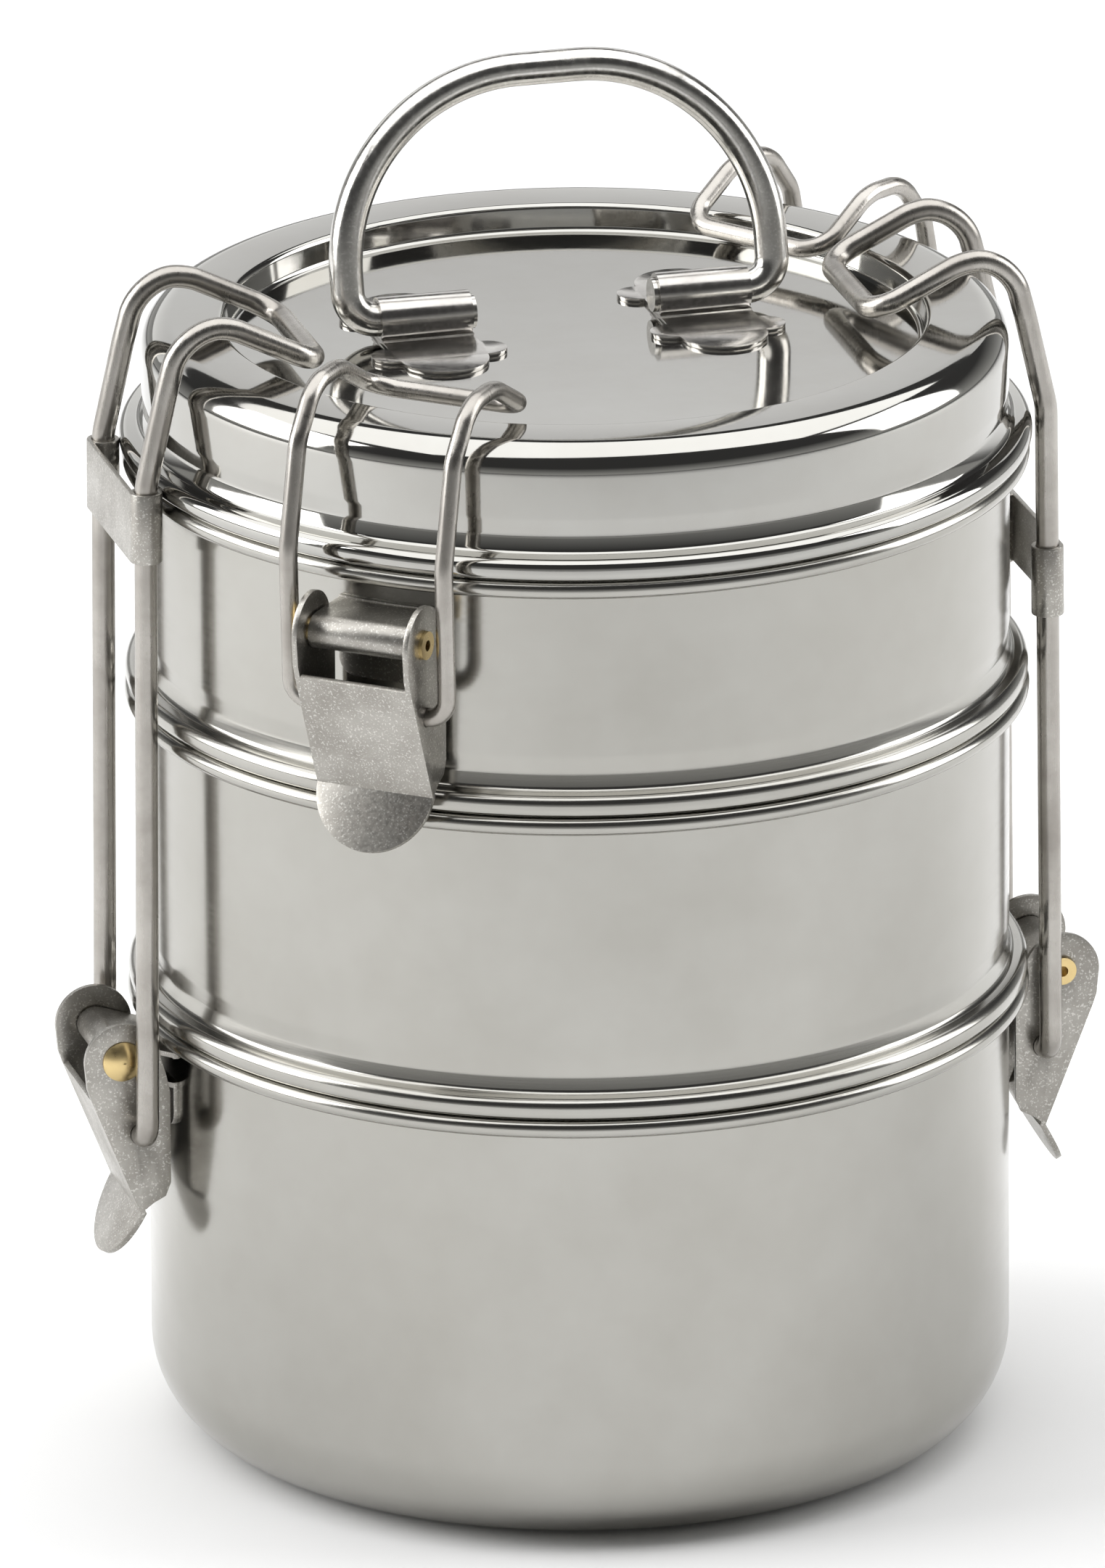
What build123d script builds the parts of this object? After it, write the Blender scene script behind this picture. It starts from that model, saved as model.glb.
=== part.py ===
from build123d import *
import math
import os

# Three-tier round food carrier. Millimetres, +Z up, origin at the centre of the flat underside of the
# bottom bowl. The two long clamps stand on +X and -X, and the carrying handle lies along X.

# ---- overall sizes -------------------------------------------------------------------------------
body_r = 70.0            # outside radius of every bowl wall
sheet = 0.7              # bowl and lid sheet
bottom_rim = 75.6        # height of the bottom bowl's rim
middle_h = 51.2          # rim to rim
top_h = 39.7
lid_h = 21.3             # rim of the top bowl to the top of the lid
base_corner = 15.0       # radius between wall and floor of the bottom bowl

# ---- rims, stop rings and nesting ----------------------------------------------------------------
bead_r = 1.5             # rolled wire-like edge of each bowl
bead_out = 3.2           # how far a rolled edge stands out of the wall
lid_bead_out = 3.6
ring_out = 3.0           # stop ring above each joint
spigot_gap = 0.4         # radial gap where one bowl stands in the next
spigot_depth = 8.0
lid_spigot = 6.0
lid_corner = 5.0
border_w = 13.3          # body wall to the inner edge of the lid's raised border
recess_depth = 4.5

# ---- carrying handle -----------------------------------------------------------------------------
handle_wire_r = 2.75
handle_half = 35.4       # centre of the lid to the side of the arch
handle_rise = 38.2       # pivot to the middle of the arch
handle_bend = 4.6
handle_arch = 30.5
handle_lean = 14.0       # rest position, degrees towards +Y
handle_y = 7.8           # the handle is welded a little behind the middle of the lid
pivot_above_plate = 3.6
saddle_x = 23.2          # middle of the handle to the middle of a saddle
saddle_len = 15.2
saddle_sheet = 0.75
fit_gap = 0.05           # running clearance of every pivot, on the radius

# ---- clamps --------------------------------------------------------------------------------------
clamp_sheet = 0.9
lever_half = 10.15       # half of the outside width of a lever
pin_r = 2.0
ear_r = 6.3
bracket_sheet = 0.8
side_gap = 0.3           # lever cheek to bracket
hole_gap = 0.08          # clamp wire in the lever's hole, on the radius
plate_top = (5.2, -6.5)  # front plate of the lever, measured out from and up from the pin
plate_end = (-2.7, -26.5)
tab_end = (2.1, -35.4)

lid_seam = bottom_rim + middle_h + top_h
lid_top = lid_seam + lid_h
plate_z = lid_top - recess_depth
pivot_z = plate_z + pivot_above_plate

clamps = {
    "long": dict(pin_u=body_r + 8.9, pin_z=bottom_rim - 4.7, sag=18.0, hole=(-3.0, -12.7), wire_r=1.85, half=14.1,
                 side=[(4.9, lid_seam + 3.0, 12.0), (1.4, lid_top - 2.8, 8.0), (-1.2, lid_top + 7.1, 8.0),
                       (-9.0, lid_top + 7.4, 9.0)],
                 cross=(-24.0, lid_top, 5.0), head=1,
                 places={"left": 180.0, "right": 0.0}),
    "short": dict(pin_u=body_r + 8.9, pin_z=lid_seam - 9.2, sag=0.0, hole=(-1.0, -12.4), wire_r=1.5, half=13.6,
                  side=[(8.9, lid_seam + 3.5, 10.0), (5.0, lid_top - 0.8, 6.0), (-1.0, lid_top + 6.8, 7.0),
                        (-10.0, lid_top + 7.1, 9.0)],
                  cross=(-22.5, lid_top + 0.2, 5.0), head=-1,
                  places={"front": 230.0, "back": 37.0}),
}
strap_z = {"left": 163.0, "right": 140.0}    # the straps are loose and have slid to different heights
strap_h = 11.7
strap_sheet = 0.8

os.makedirs("parts", exist_ok=True)


def save(shape, name):
    shape.label = name
    export_step(shape, "parts/" + name + ".step")


def turned(*edges):
    """Solid of revolution about Z from a closed outline in the XZ plane."""
    return revolve(Plane.XZ * make_face(Wire(list(edges))), Axis.Z, 360)


def run(*points):
    """Straight edges through the given points."""
    return [Line(a, b) for a, b in zip(points[:-1], points[1:])]


def corner(start, end, centre):
    """Quarter round from start to end about the given centre."""
    radius = math.dist(start, centre)
    mid = ((start[0] + end[0]) / 2 - centre[0], (start[1] + end[1]) / 2 - centre[1])
    k = radius / math.hypot(*mid)
    return [ThreePointArc(start, (centre[0] + mid[0] * k, centre[1] + mid[1] * k), end)]


def rolled_rim(z):
    """Rolled edge hung under the outward lip of a bowl whose rim is at z."""
    return Pos(0, 0, z - bead_r) * Torus(body_r + bead_out - bead_r, bead_r)


def bottom_bowl():
    r, ri, c = body_r, body_r - sheet, base_corner
    lip = body_r + bead_out - bead_r
    z = bottom_rim
    shell = turned(
        *run((0, 0), (r - c, 0)), *corner((r - c, 0), (r, c), (r - c, c)),
        *run((r, c), (r, z - sheet), (lip, z - sheet), (lip, z), (ri + 0.6, z)),
        *corner((ri + 0.6, z), (ri, z - 0.6), (ri + 0.6, z - 0.6)),
        *run((ri, z - 0.6), (ri, c)), *corner((ri, c), (r - c, sheet), (r - c, c)),
        *run((r - c, sheet), (0, sheet), (0, 0)))
    return shell + rolled_rim(z)


def upper_bowl(seam, z):
    """Bowl that nests into the one below; seam is the lower bowl's rim and z is this bowl's rim."""
    r, ri = body_r, body_r - sheet
    rs = ri - spigot_gap
    rsi, c, base = rs - sheet, 6.0, seam - spigot_depth
    lip = body_r + bead_out - bead_r
    ring = body_r + ring_out
    shell = turned(
        *run((0, base), (rs - c, base)), *corner((rs - c, base), (rs, base + c), (rs - c, base + c)),
        *run((rs, base + c), (rs, seam), (ring - 1.3, seam)),
        ThreePointArc((ring - 1.3, seam), (ring, seam + 1.7), (ring - 1.4, seam + 3.4)),
        ThreePointArc((ring - 1.4, seam + 3.4), (r + 0.35, seam + 4.4), (r - 0.25, seam + 6.2)),
        *run((r - 0.25, seam + 6.2), (r, seam + 9.5), (r, z - sheet), (lip, z - sheet), (lip, z),
             (ri + 0.6, z)),
        *corner((ri + 0.6, z), (ri, z - 0.6), (ri + 0.6, z - 0.6)),
        *run((ri, z - 0.6), (ri, seam + 9.5), (ri - 0.25, seam + 6.2), (rsi, seam + 3.0), (rsi, base + c)),
        *corner((rsi, base + c), (rs - c, base + sheet), (rs - c, base + c)),
        *run((rs - c, base + sheet), (0, base + sheet), (0, base)))
    return shell + rolled_rim(z)


def lid():
    s, top, p = lid_seam, lid_top, plate_z
    r, ri = body_r - 0.1, body_r - 0.1 - sheet
    rs = body_r - sheet - spigot_gap
    ring, c, rr = body_r + lid_bead_out, lid_corner, body_r - border_w
    return turned(
        *run((rs - sheet, s - lid_spigot), (rs, s - lid_spigot), (rs, s), (ring - 1.7, s)),
        ThreePointArc((ring - 1.7, s), (ring, s + 1.8), (ring - 1.7, s + 3.6)),
        ThreePointArc((ring - 1.7, s + 3.6), (r + 0.5, s + 4.7), (r - 0.2, s + 6.5)),
        *run((r - 0.2, s + 6.5), (r, s + 9.0), (r, top - c)),
        *corner((r, top - c), (r - c, top), (r - c, top - c)),
        *run((r - c, top), (rr + 1.0, top)), *corner((rr + 1.0, top), (rr, top - 1.0), (rr + 1.0, top - 1.0)),
        *run((rr, top - 1.0), (rr - 0.5, p + 1.0)),
        *corner((rr - 0.5, p + 1.0), (rr - 1.5, p), (rr - 1.5, p + 1.0)),
        *run((rr - 1.5, p), (0, p), (0, p - sheet), (rr - 1.0, p - sheet), (rr + 0.2, p + 0.5),
             (rr + sheet, top - 1.2), (rr + sheet, top - sheet), (r - c, top - sheet)),
        *corner((r - c, top - sheet), (ri, top - c), (r - c, top - c)),
        *run((ri, top - c), (ri, s + 9.0), (ri - 0.2, s + 6.5), (rs - sheet, s + 3.0),
             (rs - sheet, s - lid_spigot)))


def bent_wire(points, radii, wire_r):
    """Round wire with straight runs and tangent bends; its square-cut ends face along the wire."""
    path = FilletPolyline(*points, radius=radii)
    section = Plane(origin=path @ 0, z_dir=path % 0) * Circle(wire_r)
    return sweep(section, path=path)


def handle():
    h, end, up = handle_half, saddle_x - saddle_len / 2 - 0.8, handle_rise
    pts = [(-end, 0, 0), (-h, 0, 0), (-h, 0, up), (h, 0, up), (h, 0, 0), (end, 0, 0)]
    upright = bent_wire(pts, [handle_bend, handle_arch, handle_arch, handle_bend], handle_wire_r)
    return Pos(0, handle_y, pivot_z) * (Rot(-handle_lean, 0, 0) * upright)


def saddle(x):
    """Strip curled round the rod into a tube that stands on the lid, with a scalloped foot each side."""
    ri = handle_wire_r + fit_gap
    ro = ri + saddle_sheet
    foot = Rectangle(saddle_len, 24.0)
    for side in (-1, 1):
        foot += Pos(0, side * 13.6) * Circle(7.2)
        for end in (-1, 1):
            foot += Pos(end * 7.9, side * 10.2) * Circle(3.3)
    foot -= Rectangle(4 * saddle_len, 2 * ri)
    body = Pos(0, 0, plate_z) * extrude(foot, saddle_sheet)
    tube = Circle(ro) + Pos(0, -pivot_above_plate + 0.5) * Rectangle(2 * ro, 1.0)
    tube -= Circle(ri)
    body += Pos(-saddle_len / 2, 0, pivot_z) * (Plane.YZ * extrude(tube, saddle_len))
    return Pos(x, handle_y, 0) * body


def bracket(c):
    """Strip curled round the rivet, with a foot above and a foot below on the bowl wall."""
    half = lever_half - clamp_sheet - side_gap
    ri = pin_r + fit_gap
    ro = ri + bracket_sheet
    u, z = c["pin_u"], c["pin_z"]
    drop = (u - body_r) * math.tan(math.radians(c["sag"]))
    foot_z = z - drop
    wall = Pos(0, 0, z) * Cylinder(body_r, 60)
    skin = Pos(0, 0, z) * Cylinder(body_r + bracket_sheet, 60) - wall
    feet = Pos(body_r, 0, foot_z + (ri + 3.1) / 2) * Box(12, 2 * half, 3.1 - ri)
    lower = Box(12, 2 * half, 10.0 - ri)
    lower = fillet(lower.edges().filter_by(Axis.X).group_by(Axis.Z)[0], 3.0)
    feet += Pos(body_r, 0, foot_z - (ri + 10.0) / 2) * lower
    aim = Pos(u, 0, z) * Rot(0, -c["sag"], 0)
    reach = u - body_r + 6
    barrel = aim * (Rot(90, 0, 0) * Cylinder(ro, 2 * half))
    neck = aim * (Pos(-reach / 2, 0, 0) * Box(reach, 2 * half, 2 * ro))
    bore = aim * (Rot(90, 0, 0) * Cylinder(ri, 4 * half))
    hollow = aim * (Pos(-reach / 2, 0, 0) * Box(reach, 4 * half, 2 * ri))
    loop = (barrel + neck) - wall - bore - hollow
    return loop + (feet & skin)


def lever(c):
    """Folded lever: two cheeks with round ears, a sloping front plate and a turned-out thumb tab."""
    t, half = clamp_sheet, lever_half
    (ax, az), (bx, bz), (ex, ez) = plate_top, plate_end, tab_end
    d1 = Vector(bx - ax, 0, bz - az).normalized()
    d2 = Vector(ex - bx, 0, ez - bz).normalized()
    n1 = Vector(d1.Z, 0, -d1.X)
    n2 = Vector(d2.Z, 0, -d2.X)
    mid = (n1 + n2).normalized()
    k = t / mid.dot(n1)
    outline = [(ax, az), (bx, bz), (ex, ez), (ex + n2.X * t, ez + n2.Z * t),
               (bx + mid.X * k, bz + mid.Z * k), (ax + n1.X * t, az + n1.Z * t)]
    front = extrude(Plane.XZ * make_face(Polyline(*outline, close=True)), half, both=True)
    # round the thumb tab
    length = math.dist(plate_end, tab_end)
    tab_plane = Plane(origin=(bx, 0, bz), x_dir=(0, 1, 0), z_dir=(-n2.X, 0, -n2.Z))
    down = 1 if tab_plane.y_dir.Z < 0 else -1
    waste = Pos(0, down * length / 2) * Rectangle(4 * half, length)
    waste -= Circle(length) & (Pos(0, down * length) * Rectangle(2 * half, 2 * length))
    front -= extrude(tab_plane * waste, 3.0, both=True)
    cheek = make_face(Polyline((ear_r, 0), (5.9, -4.4), (ax, az), (bx, bz), (bx - 2.2, bz + 1.7),
                               (bx - 4.2, bz + 2.7), (bx - 5.1, bz + 5.0), (-7.8, -6.0), (-7.2, -3.0),
                               (-ear_r, 0), close=True)) + Circle(ear_r)
    cheek -= Circle(pin_r)
    cheek -= Pos(*c["hole"]) * Circle(c["wire_r"] + hole_gap)
    plate = extrude(Plane.XZ * cheek, t / 2, both=True)
    body = front
    for side in (-1, 1):
        body += Pos(0, side * (half - t / 2), 0) * plate
    return Pos(c["pin_u"], 0, c["pin_z"]) * body


def rivet(c):
    """Brass rivet through the lever and the bracket: domed head at one end, flared hollow at the other."""
    half, head, rise = lever_half, 3.3, 1.25
    dome = (head ** 2 + rise ** 2) / (2 * rise)
    turn = math.asin(head / dome) / 2
    top = half + 0.25 + rise
    body = turned(
        *run((0, -half + 1.6), (0.9, -half + 1.6), (0.9, -half - 0.6), (2.3, -half - 0.6), (2.3, -half),
             (pin_r, -half), (pin_r, half), (head, half), (head, half + 0.25)),
        ThreePointArc((head, half + 0.25),
                      (dome * math.sin(turn), top - dome * (1 - math.cos(turn))), (0, top)),
        *run((0, top), (0, -half + 1.6)))
    return Pos(c["pin_u"], 0, c["pin_z"]) * (Rot(-90 * c["head"], 0, 0) * body)


def bail_side(c):
    """Corner points of one side of the clamp wire as (out, up, bend radius)."""
    hole_u, hole_z = c["pin_u"] + c["hole"][0], c["pin_z"] + c["hole"][1]
    side = [(body_r + u, z, r) for u, z, r in c["side"]]
    return [(hole_u, hole_z, 3.5)] + side + [(body_r + c["cross"][0], c["cross"][1], c["cross"][2])]


def bail(c):
    """Clamp wire: both ends turned in through the lever, the middle hooked over the lid's border."""
    side, w = bail_side(c), c["half"]
    end = (side[0][0], lever_half - clamp_sheet + 0.1, side[0][1])
    right = [end] + [(u, w, z) for u, z, r in side]
    left = [(x, -y, z) for x, y, z in reversed(right)]
    radii = [r for u, z, r in side]
    return bent_wire(right + left, radii + radii[::-1], c["wire_r"])


def strap(c, level):
    """Flat strip across the outside of the two wires, each end curled round one of them."""
    (u0, z0, r0), (u1, z1, r1) = bail_side(c)[:2]
    lean = math.degrees(math.atan2(u1 - u0, z1 - z0))
    u = u0 + (u1 - u0) * (level - z0) / (z1 - z0)
    ri, ro, w = c["wire_r"], c["wire_r"] + strap_sheet, c["half"]
    band = Pos((ri + ro) / 2, 0) * Rectangle(strap_sheet, 2 * w)
    for side in (-1, 1):
        band += Pos(0, side * w) * Circle(ro)
    for side in (-1, 1):
        band -= Pos(0, side * w) * Circle(ri)
    return Pos(u, 0, level) * (Rot(0, lean, 0) * extrude(band, strap_h / 2, both=True))


save(bottom_bowl(), "bottom_bowl")
save(upper_bowl(bottom_rim, bottom_rim + middle_h), "middle_bowl")
save(upper_bowl(bottom_rim + middle_h, lid_seam), "top_bowl")
save(lid(), "lid")
save(handle(), "handle")
save(saddle(-saddle_x), "handle_saddle_left")
save(saddle(saddle_x), "handle_saddle_right")

for kind, c in clamps.items():
    for place, angle in c["places"].items():
        pieces = {"bracket": bracket(c), "lever": lever(c), "rivet": rivet(c), "bail": bail(c)}
        if kind == "long":
            pieces["strap"] = strap(c, strap_z[place])
        for piece, shape in pieces.items():
            save(Rot(0, 0, angle) * shape, kind + "_" + piece + "_" + place)
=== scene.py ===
import math
import bpy
import bmesh
from mathutils import Matrix, Vector


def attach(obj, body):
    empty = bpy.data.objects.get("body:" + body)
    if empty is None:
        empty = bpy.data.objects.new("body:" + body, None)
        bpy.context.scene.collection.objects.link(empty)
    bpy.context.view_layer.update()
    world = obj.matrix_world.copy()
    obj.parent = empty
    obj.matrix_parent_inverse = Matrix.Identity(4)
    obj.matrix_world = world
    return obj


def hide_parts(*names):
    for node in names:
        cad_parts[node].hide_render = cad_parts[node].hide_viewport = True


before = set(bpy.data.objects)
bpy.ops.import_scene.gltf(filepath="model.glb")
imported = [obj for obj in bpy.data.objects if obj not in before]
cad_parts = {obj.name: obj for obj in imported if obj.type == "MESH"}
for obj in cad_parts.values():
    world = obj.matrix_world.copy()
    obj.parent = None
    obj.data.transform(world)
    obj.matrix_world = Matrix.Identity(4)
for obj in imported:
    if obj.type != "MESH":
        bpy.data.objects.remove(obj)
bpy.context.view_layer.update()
MM = 0.001
MERGE_DIST = 1e-6
SMOOTH_ANGLE = math.radians(32)
SHARP_ANGLE = math.radians(38)

# ---- Viewing angle ----
# A long lens from a little above, with the carrier turned so that its handle runs back to the
# right.
SIGHT_TILT = math.radians(19.33)
SIGHT_TURN = math.radians(-15.0)
SIGHT_ROLL = math.radians(-0.3396)
RIM_R = 0.07307
RIM_HEIGHT = 0.0756
# The camera's place, from the middle of the bottom bowl's rim and in rim radii.
SHIFT_RIGHT, SHIFT_UP, DISTANCE = -0.05508, 0.40996, 50.0
SENSOR_MM = 36.0
LENS_IN_FRAME_HEIGHTS = 30991.15 / 2162

right = Vector((1, 0, 0))
up = Vector((0, math.sin(SIGHT_TILT), math.cos(SIGHT_TILT)))
ahead = Vector((0, math.cos(SIGHT_TILT), -math.sin(SIGHT_TILT)))
spot = (right * SHIFT_RIGHT + up * SHIFT_UP - ahead * DISTANCE) * RIM_R + Vector((0, 0, RIM_HEIGHT))
side = right * math.cos(SIGHT_ROLL) + up * math.sin(SIGHT_ROLL)
top = up * math.cos(SIGHT_ROLL) - right * math.sin(SIGHT_ROLL)
pose = Matrix((side, top, -ahead)).transposed().to_4x4()
pose.translation = spot
camera = bpy.data.objects.new("camera", bpy.data.cameras.new("camera"))
camera.data.sensor_fit = "VERTICAL"
camera.data.sensor_height = SENSOR_MM
camera.data.lens = LENS_IN_FRAME_HEIGHTS * SENSOR_MM
camera.data.clip_start = 0.1
camera.matrix_world = Matrix.Rotation(SIGHT_TURN, 4, "Z") @ pose
bpy.context.scene.collection.objects.link(camera)
bpy.context.scene.camera = camera

# ---- Table and studio light ----
# A matt white sheet under the carrier, big soft panels round it, and a room that is pale near the
# horizon and dark above.
TABLE_HALF = 4.0
TABLE_WHITE = (0.9, 0.9, 0.9, 1)
TABLE_ROUGH = 0.9
ROOM_LOW = (0.45, 0.45, 0.44, 1)
ROOM_HIGH = (0.06, 0.06, 0.06, 1)
ROOM_DARK_FROM = 0.35
LIGHT_AIM = Vector((0, 0, 0.12))

sheet = bmesh.new()
bmesh.ops.create_grid(sheet, x_segments=1, y_segments=1, size=TABLE_HALF)
floor_mesh = bpy.data.meshes.new("table_sheet")
sheet.to_mesh(floor_mesh)
sheet.free()
floor = bpy.data.objects.new("table_sheet", floor_mesh)
bpy.context.scene.collection.objects.link(floor)
paper = bpy.data.materials.new("white_sheet")
paper.use_nodes = True
paper.node_tree.nodes["Principled BSDF"].inputs["Base Color"].default_value = TABLE_WHITE
paper.node_tree.nodes["Principled BSDF"].inputs["Roughness"].default_value = TABLE_ROUGH
floor_mesh.materials.append(paper)

room = bpy.data.worlds.new("room")
bpy.context.scene.world = room
room.use_nodes = True
tree = room.node_tree
backdrop = tree.nodes["Background"]
backdrop.inputs["Strength"].default_value = 1.0
where = tree.nodes.new("ShaderNodeTexCoord")
split = tree.nodes.new("ShaderNodeSeparateXYZ")
shade = tree.nodes.new("ShaderNodeValToRGB")
near_horizon, overhead = shade.color_ramp.elements
near_horizon.position, near_horizon.color = 0.0, ROOM_LOW
overhead.position, overhead.color = ROOM_DARK_FROM, ROOM_HIGH
tree.links.new(where.outputs["Generated"], split.inputs[0])
tree.links.new(split.outputs["Z"], shade.inputs["Fac"])
tree.links.new(shade.outputs["Color"], backdrop.inputs["Color"])
bpy.context.scene.view_settings.view_transform = "Standard"


def soft_panel(name, place, wide, high, power):
    """Square-cornered soft light aimed at the middle of the carrier."""
    lamp = bpy.data.lights.new(name, "AREA")
    lamp.shape = "RECTANGLE"
    lamp.size, lamp.size_y, lamp.energy = wide, high, power
    panel = bpy.data.objects.new(name, lamp)
    panel.location = place
    panel.rotation_euler = (LIGHT_AIM - Vector(place)).to_track_quat("-Z", "Y").to_euler()
    bpy.context.scene.collection.objects.link(panel)


soft_panel("panel_left", (-1.5, 0.35, 0.8), wide=1.2, high=1.2, power=24)
soft_panel("panel_right", (1.5, -0.1, 0.8), wide=1.0, high=1.2, power=13)
soft_panel("panel_above", (0.0, 0.2, 1.7), wide=3.0, high=2.2, power=44)
soft_panel("panel_behind", (0.2, 2.2, 0.9), wide=2.6, high=0.9, power=6.4)


# ---- Making pieces ----
def dress(name, mesh, material, body, slot, *nodes):
    """Finished piece from a mesh, riding on a body and standing for its CAD nodes."""
    mesh.materials.clear()
    mesh.materials.append(material)
    mesh.polygons.foreach_set("use_smooth", [True] * len(mesh.polygons))
    mesh.set_sharp_from_angle(angle=SMOOTH_ANGLE)
    piece = bpy.data.objects.new(name, mesh)
    bpy.context.scene.collection.objects.link(piece)
    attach(piece, body)
    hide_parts(*nodes)


def mesh_object(name, bm, material, body, slot, *nodes):
    """The same from a bmesh, which is freed."""
    mesh = bpy.data.meshes.new(name)
    bm.to_mesh(mesh)
    bm.free()
    dress(name, mesh, material, body, slot, *nodes)


def rounded_path(corners, closed, fine):
    """Edges through the corners (place, bend radius), each rounded in `fine` steps a radian."""
    bm = bmesh.new()
    verts = [bm.verts.new(place) for place, radius in corners]
    for a, b in zip(verts, verts[1:] + verts[:1] if closed else verts[1:]):
        bm.edges.new((a, b))
    count = len(corners)
    for i, (place, radius) in enumerate(corners):
        if radius <= 0 or (not closed and i in (0, count - 1)):
            continue
        back = Vector(corners[i - 1][0]) - Vector(place)
        on = Vector(corners[(i + 1) % count][0]) - Vector(place)
        turn = math.pi - back.angle(on)
        bmesh.ops.bevel(bm, geom=[verts[i]], offset=radius * math.tan(turn / 2),
                        offset_type="OFFSET", segments=max(3, int(turn * fine)), profile=0.5,
                        affect="VERTICES", material=-1)
    return bm


def spun(outline, steps=256, fine=9):
    """Body of revolution from a closed outline of (out, up, corner radius) in millimetres."""
    corners = [(Vector((u * MM, 0, z * MM)), r * MM) for u, z, r in outline]
    bm = rounded_path(corners, True, fine)
    bmesh.ops.spin(bm, geom=bm.verts[:] + bm.edges[:], cent=(0, 0, 0), axis=(0, 0, 1),
                   angle=math.tau, steps=steps, use_merge=True)
    bmesh.ops.remove_doubles(bm, verts=bm.verts, dist=MERGE_DIST)
    bmesh.ops.recalc_face_normals(bm, faces=bm.faces)
    return bm


def wire_mesh(name, corners, radius, fine=14):
    """Round wire along rounded corners, with square-cut ends."""
    bm = rounded_path(corners, False, fine)
    ends = [v for v in bm.verts if len(v.link_edges) == 1]
    here = min(ends, key=lambda v: (v.co - Vector(corners[0][0])).length)
    line, last = [here.co.copy()], None
    while True:
        onward = [e for e in here.link_edges if e is not last]
        if not onward:
            break
        last = onward[0]
        here = last.other_vert(here)
        line.append(here.co.copy())
    bm.free()
    curve = bpy.data.curves.new(name, "CURVE")
    curve.dimensions = "3D"
    curve.bevel_depth = radius
    curve.bevel_resolution = 8
    curve.use_fill_caps = True
    spline = curve.splines.new("POLY")
    spline.points.add(len(line) - 1)
    for point, place in zip(spline.points, line):
        point.co = (*place, 1)
    guide = bpy.data.objects.new(name, curve)
    mesh = bpy.data.meshes.new_from_object(guide)
    bpy.data.objects.remove(guide)
    bm = bmesh.new()
    bm.from_mesh(mesh)
    bmesh.ops.remove_doubles(bm, verts=bm.verts, dist=MERGE_DIST)
    bmesh.ops.recalc_face_normals(bm, faces=bm.faces)
    bm.to_mesh(mesh)
    bm.free()
    return mesh


def softened(name, round_off, material, body, slot):
    """Copy of a CAD piece with its sharp edges broken by round_off metres."""
    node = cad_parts[name]
    bm = bmesh.new()
    bm.from_mesh(node.data)
    bm.transform(node.matrix_world)
    bmesh.ops.remove_doubles(bm, verts=bm.verts, dist=MERGE_DIST)
    sharp = [e for e in bm.edges if len(e.link_faces) == 2 and e.calc_face_angle() > SHARP_ANGLE]
    bmesh.ops.bevel(bm, geom=sharp, offset=round_off, offset_type="OFFSET", segments=2, profile=0.5,
                    affect="EDGES", material=-1, clamp_overlap=True)
    bmesh.ops.recalc_face_normals(bm, faces=bm.faces)
    mesh_object(name + "_sheet", bm, material, body, slot, name)


# ---- Metals ----
def group(name, inputs, outputs):
    """Empty shader node group of number sockets: inputs are (name, value), outputs are names."""
    made = bpy.data.node_groups.new(name, "ShaderNodeTree")
    for label, value in inputs:
        socket = made.interface.new_socket(label, in_out="INPUT", socket_type="NodeSocketFloat")
        socket.default_value = value
    for label in outputs:
        made.interface.new_socket(label, in_out="OUTPUT", socket_type="NodeSocketFloat")
    return made, made.nodes.new("NodeGroupInput"), made.nodes.new("NodeGroupOutput")


def add(tree, kind, **settings):
    """New shader node; a setting named in_Some_Socket fills that input, any other is a property."""
    node = tree.nodes.new(kind)
    for key, value in settings.items():
        if key.startswith("in_"):
            node.inputs[key[3:].replace("_", " ")].default_value = value
        else:
            setattr(node, key, value)
    return node


# Grain: short fine scratches running one way, as left by a buffing wheel or a drawing die.
grain, g_in, g_out = group(
    "grain", [("Across X", 900.0), ("Across Y", 900.0), ("Across Z", 40.0)], ["Height"])
g_place = add(grain, "ShaderNodeTexCoord")
g_scale = add(grain, "ShaderNodeCombineXYZ")
g_times = add(grain, "ShaderNodeVectorMath", operation="MULTIPLY")
g_noise = add(grain, "ShaderNodeTexNoise", in_Scale=1.0, in_Detail=3.0, in_Roughness=0.6)
for axis in "XYZ":
    grain.links.new(g_in.outputs["Across " + axis], g_scale.inputs[axis])
grain.links.new(g_place.outputs["Object"], g_times.inputs[0])
grain.links.new(g_scale.outputs[0], g_times.inputs[1])
grain.links.new(g_times.outputs[0], g_noise.inputs["Vector"])
grain.links.new(g_noise.outputs["Fac"], g_out.inputs["Height"])

# Handling marks: soft smears that change the gloss and the tone, and specks of painted glint,
# bright dots painted into the colour.
smear_and_glint_group, m_in, m_out = group(
    "smears_and_painted_glints", [("Smear Size", 30.0), ("Speck Size", 900.0)], ["Smear", "Speck"])
m_place = add(smear_and_glint_group, "ShaderNodeTexCoord")
m_smear = add(smear_and_glint_group, "ShaderNodeTexNoise", in_Detail=5.0, in_Roughness=0.65)
m_speck = add(smear_and_glint_group, "ShaderNodeTexNoise", in_Detail=1.0)
m_few = add(smear_and_glint_group, "ShaderNodeMapRange", in_From_Min=0.58, in_From_Max=0.70)
smear_and_glint_group.links.new(m_place.outputs["Object"], m_smear.inputs["Vector"])
smear_and_glint_group.links.new(m_place.outputs["Object"], m_speck.inputs["Vector"])
smear_and_glint_group.links.new(m_in.outputs["Smear Size"], m_smear.inputs["Scale"])
smear_and_glint_group.links.new(m_in.outputs["Speck Size"], m_speck.inputs["Scale"])
smear_and_glint_group.links.new(m_speck.outputs["Fac"], m_few.inputs["Value"])
smear_and_glint_group.links.new(m_smear.outputs["Fac"], m_out.inputs["Smear"])
smear_and_glint_group.links.new(m_few.outputs["Result"], m_out.inputs["Speck"])

# Near-white colour of the painted glint: specks of the base colour painted bright to stand for
# sparkle.
PAINTED_GLINT_COLOUR = (0.95, 0.94, 0.90, 1)


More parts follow.
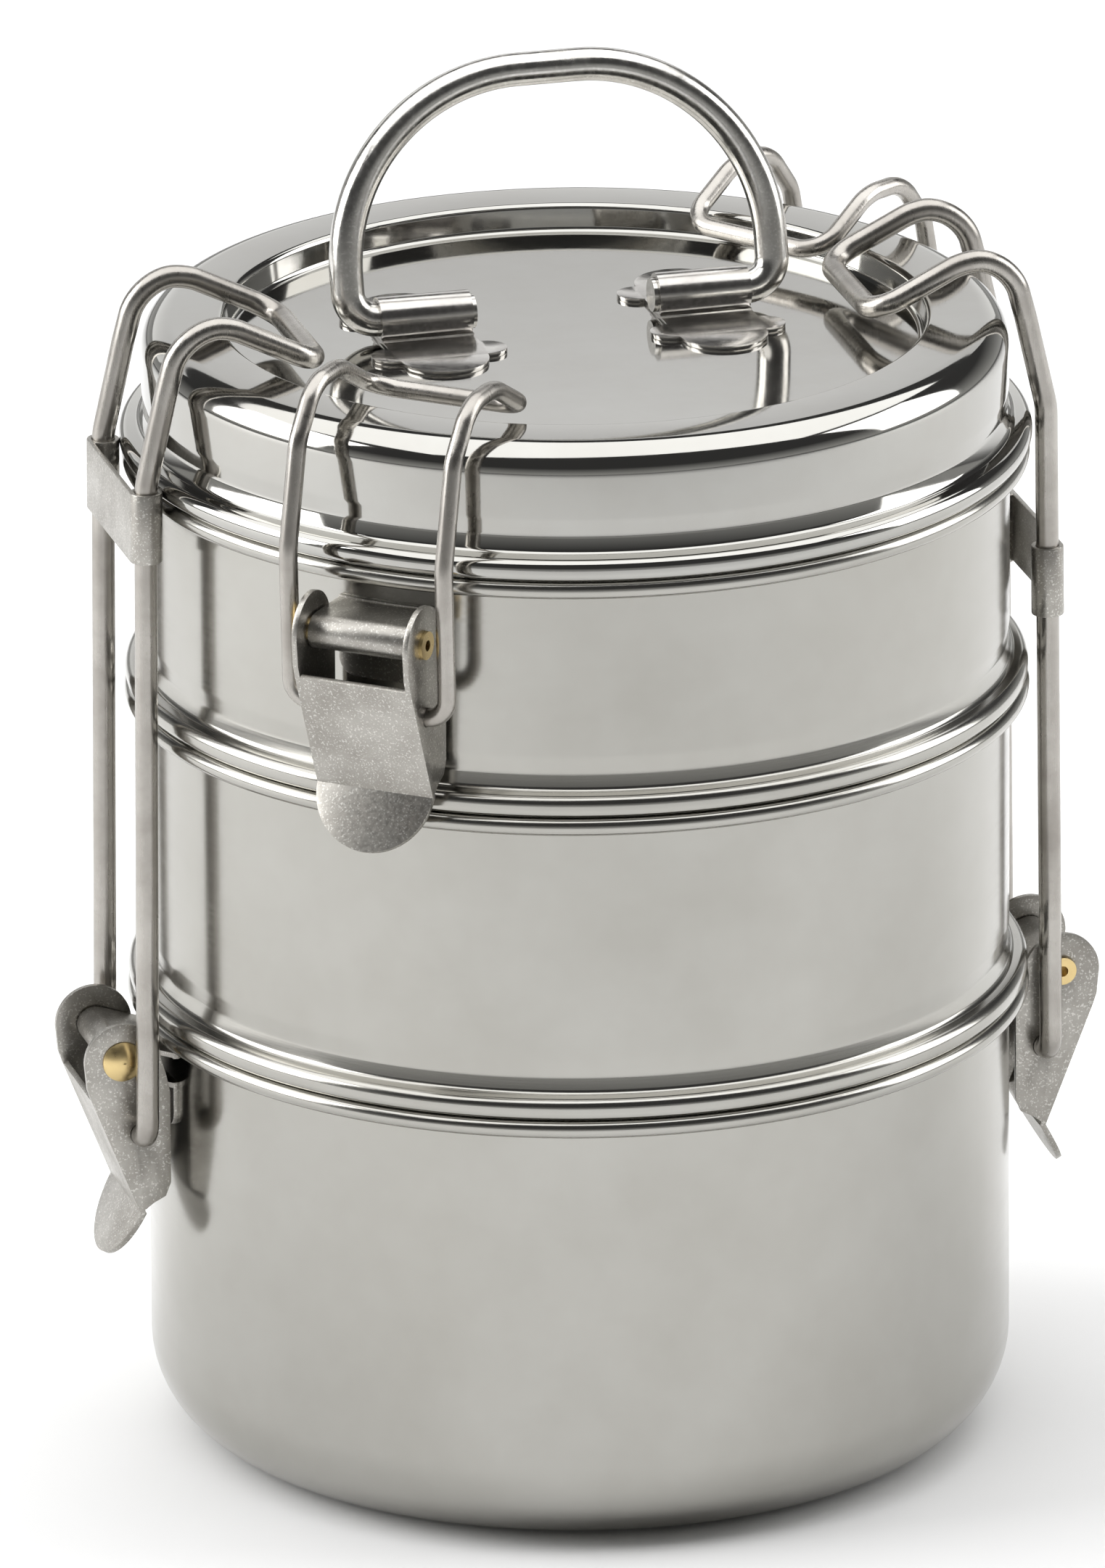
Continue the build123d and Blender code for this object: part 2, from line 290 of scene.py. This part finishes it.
def steel(name, colour, dark, rough, rough_more, lines, line_height,
          smear=30.0, speck=900.0, painted_glint=0.0):
    """Bare metal. Smears run the colour towards dark, and smears with grain run the roughness from
    rough up by rough_more. The grain, scaled by lines, is also a relief of line_height metres."""
    material = bpy.data.materials.new(name)
    material.use_nodes = True
    tree = material.node_tree
    shader = tree.nodes["Principled BSDF"]
    shader.inputs["Metallic"].default_value = 1.0
    run = add(tree, "ShaderNodeGroup", node_tree=grain)
    for axis, value in zip("XYZ", lines):
        run.inputs["Across " + axis].default_value = value
    wear_and_glint_specks = add(tree, "ShaderNodeGroup", node_tree=smear_and_glint_group, in_Smear_Size=smear, in_Speck_Size=speck)

    both = add(tree, "ShaderNodeMath", operation="ADD")
    half = add(tree, "ShaderNodeMath", operation="MULTIPLY")
    half.inputs[1].default_value = 0.5
    gloss = add(tree, "ShaderNodeMapRange", in_From_Min=0.3, in_From_Max=0.7,
                in_To_Min=rough, in_To_Max=rough + rough_more)
    tree.links.new(wear_and_glint_specks.outputs["Smear"], both.inputs[0])
    tree.links.new(run.outputs["Height"], both.inputs[1])
    tree.links.new(both.outputs[0], half.inputs[0])
    tree.links.new(half.outputs[0], gloss.inputs["Value"])
    tree.links.new(gloss.outputs["Result"], shader.inputs["Roughness"])

    tone = add(tree, "ShaderNodeMapRange", in_From_Min=0.35, in_From_Max=0.75)
    mix = add(tree, "ShaderNodeMix", data_type="RGBA", in_A=(*colour, 1), in_B=(*dark, 1))
    # Painted glint: the specks run the base colour towards the painted glint colour, by the glint
    # amount.
    painted_glint_strength = add(tree, "ShaderNodeMath", operation="MULTIPLY")
    painted_glint_strength.inputs[1].default_value = painted_glint
    painted_glint_mix = add(tree, "ShaderNodeMix", data_type="RGBA", in_B=PAINTED_GLINT_COLOUR)
    tree.links.new(wear_and_glint_specks.outputs["Smear"], tone.inputs["Value"])
    tree.links.new(tone.outputs["Result"], mix.inputs["Factor"])
    tree.links.new(wear_and_glint_specks.outputs["Speck"], painted_glint_strength.inputs[0])
    tree.links.new(painted_glint_strength.outputs[0], painted_glint_mix.inputs["Factor"])
    tree.links.new(mix.outputs["Result"], painted_glint_mix.inputs["A"])
    tree.links.new(painted_glint_mix.outputs["Result"], shader.inputs["Base Color"])

    relief = add(tree, "ShaderNodeBump", in_Strength=1.0, in_Distance=line_height)
    tree.links.new(run.outputs["Height"], relief.inputs["Height"])
    tree.links.new(relief.outputs["Normal"], shader.inputs["Normal"])
    return material


satin_steel = steel("satin_steel", (0.43, 0.422, 0.395), (0.385, 0.375, 0.345), 0.12, 0.10,
                    (60, 60, 2600), 0.000004)
mirror_steel = steel("mirror_steel", (0.44, 0.436, 0.415), (0.40, 0.39, 0.365), 0.04, 0.05,
                     (500, 500, 500), 0.000001)
# bright_rod and tumbled_steel carry painted glint: bright specks painted into their colour.
bright_rod = steel("bright_rod", (0.68, 0.665, 0.635), (0.50, 0.485, 0.455), 0.09, 0.22,
                   (700, 700, 700), 0.000012, smear=120.0, speck=2200.0, painted_glint=0.35)
tumbled_steel = steel("tumbled_steel", (0.42, 0.405, 0.375), (0.27, 0.255, 0.23), 0.26, 0.22,
                      (1600, 1600, 1600), 0.000014, smear=90.0, speck=3000.0, painted_glint=0.4)
welded_steel = steel("welded_steel", (0.57, 0.555, 0.53), (0.45, 0.43, 0.41), 0.12, 0.16,
                     (1100, 1100, 1100), 0.000008, smear=110.0)
brass = steel("brass", (0.80, 0.62, 0.30), (0.55, 0.42, 0.22), 0.22, 0.2, (900, 900, 900), 0.00001)
drawn_wire = steel("drawn_wire", (0.46, 0.44, 0.41), (0.30, 0.28, 0.255), 0.20, 0.18,
                   (1500, 1500, 60), 0.00002, smear=60.0)

# ---- Bowls ----
# Deep-drawn stainless steel with the edge rolled outwards. The walls are buffed on a wheel, which
# leaves a fine satin grain. Each upper bowl has a stop ring and stands in the one below. Sizes here
# and in the outlines below are in millimetres.
BOTTOM_RIM, MIDDLE_RIM, TOP_RIM, LID_TOP = 75.6, 126.8, 166.5, 187.8
SHEET_THICK = 0.7
WALL_OUT, WALL_IN = 70, 69.3
SPIGOT_OUT, SPIGOT_IN, SPIGOT_DEEP = 68.9, 68.2, 8.0
ROLL_OUT, ROLL_HIGH, ROLL_ROUND = 73.2, 3.0, 1.49


def bowl_rim(z):
    """The rolled edge's part of an outline, from the wall's outside over to its inside."""
    return [(WALL_OUT, z - ROLL_HIGH, 0.4), (ROLL_OUT, z - ROLL_HIGH, ROLL_ROUND),
            (ROLL_OUT, z, ROLL_ROUND), (WALL_IN, z, 0.6)]


def nesting_bowl(seam, rim):
    """Outline of a bowl that stands in the one below, whose edge is at the height seam."""
    base = seam - SPIGOT_DEEP
    outside = [(0, base, 0), (SPIGOT_OUT, base, 6), (SPIGOT_OUT, seam, 0.3), (73.0, seam, 1.5),
               (73.0, seam + 3.4, 1.6), (70.3, seam + 4.0, 1.0), (69.7, seam + 6.6, 2),
               (WALL_OUT, seam + 9.5, 6)]
    inside = [(WALL_IN, seam + 9.5, 0), (69.0, seam + 6.2, 0), (SPIGOT_IN, seam + 3, 0),
              (SPIGOT_IN, base + SHEET_THICK, 5.3), (0, base + SHEET_THICK, 0)]
    return outside + bowl_rim(rim) + inside


bowls = {
    "bottom_bowl": [(0, 0, 0), (WALL_OUT, 0, 15), *bowl_rim(BOTTOM_RIM),
                    (WALL_IN, SHEET_THICK, 14.3), (0, SHEET_THICK, 0)],
    "middle_bowl": nesting_bowl(BOTTOM_RIM, MIDDLE_RIM),
    "top_bowl": nesting_bowl(MIDDLE_RIM, TOP_RIM),
}
for name, outline in bowls.items():
    mesh_object(name + "_shell", spun(outline), satin_steel, "carrier", "polished_steel", name)

# ---- Lid ----
# Pressed from one blank and buffed to a mirror: raised flat border, sunk plate, skirt with a
# rolled bead.
LID_BASE, PLATE_TOP, PLATE_UNDER, BORDER_UNDER = 160.5, 183.3, 182.6, 187.1
BEAD_OUT, BEAD_ROUND = 73.6, 1.7
lid_outline = [
    (SPIGOT_IN, LID_BASE, 0), (SPIGOT_OUT, LID_BASE, 0), (SPIGOT_OUT, TOP_RIM, 0.3),
    (BEAD_OUT, TOP_RIM, BEAD_ROUND), (BEAD_OUT, 170.0, BEAD_ROUND), (70.4, 170.6, 1.0),
    (69.6, 173.2, 2), (69.9, 176, 6), (69.9, LID_TOP, 5), (56.7, LID_TOP, 1.0),
    (56.1, PLATE_TOP, 1.0), (0, PLATE_TOP, 0), (0, PLATE_UNDER, 0), (56.4, PLATE_UNDER, 0.3),
    (57.4, BORDER_UNDER, 0.3), (69.2, BORDER_UNDER, 4.3), (69.2, 175.5, 0), (69.0, 173, 0),
    (SPIGOT_IN, 169.5, 0),
]
mesh_object("lid_shell", spun(lid_outline), mirror_steel, "carrier", "polished_steel", "lid")

# ---- Carrying handle ----
# One length of stainless rod bent to an arch, both ends turned in to lie in the saddles.
ROD_R, ROD_END, ROD_HALF, ROD_RISE = 2.75, 14.8, 35.4, 38.2
END_BEND, ARCH_BEND = 4.6, 30.5
HANDLE_PIVOT = (0, 0.0078, 0.1869)
HANDLE_LEAN = math.radians(-14.0)
arch = [((-ROD_END, 0, 0), 0), ((-ROD_HALF, 0, 0), END_BEND), ((-ROD_HALF, 0, ROD_RISE), ARCH_BEND),
        ((ROD_HALF, 0, ROD_RISE), ARCH_BEND), ((ROD_HALF, 0, 0), END_BEND), ((ROD_END, 0, 0), 0)]
stand = Matrix.Translation(HANDLE_PIVOT) @ Matrix.Rotation(HANDLE_LEAN, 4, "X")
arch = [(stand @ (Vector(place) * MM), radius * MM) for place, radius in arch]
dress("handle_arch", wire_mesh("handle_arch", arch, ROD_R * MM, fine=24), bright_rod,
      "handle", "drawn_steel_wire", "handle")

# ---- Handle saddles ----
# Strip curled into a tube round the rod, with a scalloped foot each side, welded to the lid.
SADDLE_ROUND, BRACKET_ROUND, LEVER_ROUND = 0.00018, 0.00015, 0.0002
for name in ("handle_saddle_left", "handle_saddle_right"):
    softened(name, SADDLE_ROUND, welded_steel, "carrier", "steel_sheet")

# ---- Clamp brackets ----
# Stainless strip curled round each rivet and fixed to the bowl wall.
for name in ("long_bracket_left", "long_bracket_right",
             "short_bracket_front", "short_bracket_back"):
    softened(name, BRACKET_ROUND, tumbled_steel, "carrier", "steel_sheet")

# ---- Levers and straps ----
# Levers are blanked and folded from stainless sheet, then tumbled until the edges are soft. A loose
# strip curled round both sides of each long wire keeps the sides parallel.
for name in ("long_lever_left", "long_lever_right", "short_lever_front", "short_lever_back"):
    softened(name, LEVER_ROUND, tumbled_steel, name, "steel_sheet")
for place in ("left", "right"):
    softened("long_strap_" + place, LEVER_ROUND, tumbled_steel, "long_bail_" + place, "steel_sheet")

# ---- Rivets ----
# Semi-tubular brass, headed on one side and flared on the other. The CAD pieces show as they are.
for name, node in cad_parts.items():
    if "rivet" in name:
        node.data.materials.clear()
        node.data.materials.append(brass)

# ---- Clamp wires ----
# Drawn stainless wire, bent cold. The ends turn in through the lever and the middle hooks over the
# lid. A flank is one side's corners as (out, up, bend radius) in millimetres; places are degrees.
WIRE_END = 9.35
wires = {
    "long": {
        "half": 14.1, "radius": 1.85, "places": {"left": 180, "right": 0},
        "flank": [(75.9, 58.2, 3.5), (74.9, 169.5, 12), (71.4, 185.0, 8),
                  (68.8, 194.9, 8), (61.0, 195.2, 9), (46.0, 187.8, 5)],
    },
    "short": {
        "half": 13.6, "radius": 1.5, "places": {"front": 230, "back": 37},
        "flank": [(77.9, 144.9, 3.5), (78.9, 170.0, 10), (75.0, 187.0, 6),
                  (69.0, 194.6, 7), (60.0, 194.9, 9), (47.5, 188.0, 5)],
    },
}
for kind, wire in wires.items():
    reach, height = wire["flank"][0][:2]
    route = [((reach, WIRE_END, height), 0)]
    route += [((u, wire["half"], z), r) for u, z, r in wire["flank"]]
    route += [((x, -y, z), r) for (x, y, z), r in reversed(route)]
    route = [(Vector(corner) * MM, radius * MM) for corner, radius in route]
    for place, angle in wire["places"].items():
        mesh = wire_mesh(kind + "_wire_" + place, route, wire["radius"] * MM)
        mesh.transform(Matrix.Rotation(math.radians(angle), 4, "Z"))
        node_name = kind + "_bail_" + place
        dress(kind + "_wire_" + place, mesh, drawn_wire, node_name, "drawn_steel_wire", node_name)
